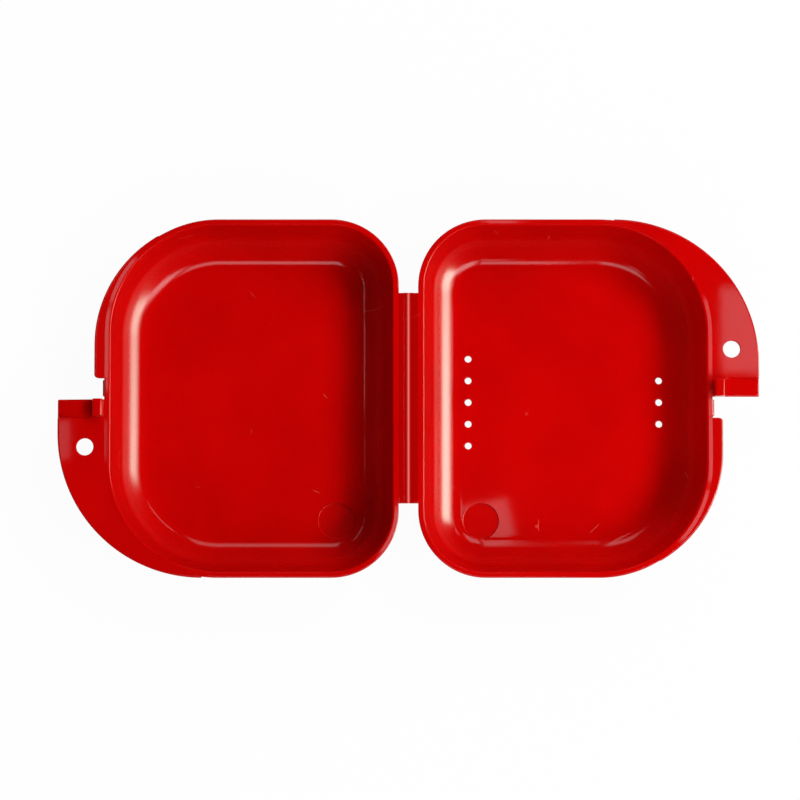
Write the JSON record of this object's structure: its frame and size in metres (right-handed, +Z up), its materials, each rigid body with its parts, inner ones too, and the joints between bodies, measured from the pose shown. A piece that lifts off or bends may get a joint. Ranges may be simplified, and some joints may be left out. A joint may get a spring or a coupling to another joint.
{
  "type": "orthodontic retainer case",
  "caption": "Hinged plastic box of two round-cornered trays that fold shut on a film hinge and snap together at offset finger tabs, with a vented lid, to carry a dental retainer.",
  "frame": {"origin": "under the middle of the hinge, on the surface that both trays rest on when the case lies open", "axes": "+X across the hinge towards the vented lid, +Y along the hinge towards the lid's finger tab, +Z up out of the trays"},
  "size_m": [0.156, 0.08, 0.0155],
  "materials": {
    "case_red": "glossy moulded polypropylene",
    "film_red": "thin translucent moulded polypropylene"
  },
  "bodies": {
    "base": {"base_tray": "case_red", "base_front_lip": "case_red", "base_latch_tab": "case_red", "base_latch_nib": "case_red", "base_catch_bead": "case_red", "base_hinge_leaf": "case_red", "hinge_film": "film_red"},
    "lid": {"lid_tray": "case_red", "lid_front_lip": "case_red", "lid_latch_tab": "case_red", "lid_latch_nib": "case_red", "lid_catch_bead": "case_red", "lid_hinge_leaf": "case_red"}
  },
  "joints": [
    {"name": "lid_hinge", "type": "hinge", "parent": "base", "child": "lid", "pos_m": [0, 0, 0.0134], "axis": [0, -1, 0], "range_deg": [0, 180], "deforming": ["hinge_film"]}
  ]
}
